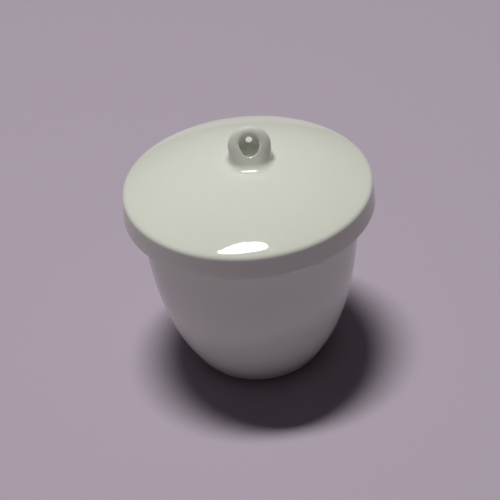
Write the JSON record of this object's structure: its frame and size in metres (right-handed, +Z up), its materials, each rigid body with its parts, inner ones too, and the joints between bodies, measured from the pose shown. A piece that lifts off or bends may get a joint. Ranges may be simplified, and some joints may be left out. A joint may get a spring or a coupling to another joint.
{
  "type": "porcelain crucible",
  "caption": "Small white glazed porcelain crucible: a cup with a flat foot, bowl-shaped below and leaning out to a rounded rim, under a domed cap lid with a short skirt and a lifting loop.",
  "frame": {"origin": "centre of the cup's flat foot, on the surface it stands on", "axes": "+Z up along the cup's turning axis, the way the lid lifts; +Y along the hole in the lid's loop, so -Y is the side that the loop's eye faces"},
  "size_m": [0.051, 0.051, 0.0546],
  "materials": {
    "glaze": "clear gloss glaze over white porcelain, with a faint warm green tint",
    "bisque": "matt unglazed porcelain, where the cup stood and the rim and lid met in the kiln"
  },
  "bodies": {
    "crucible": {"crucible_cup": "glaze"},
    "lid": {"lid_cap": "glaze", "lid_loop": "glaze"}
  },
  "joints": [
    {"name": "lid_lift", "type": "slide", "parent": "crucible", "child": "lid", "axis": [0, 0, 1], "range_m": [0, 0.045]}
  ]
}
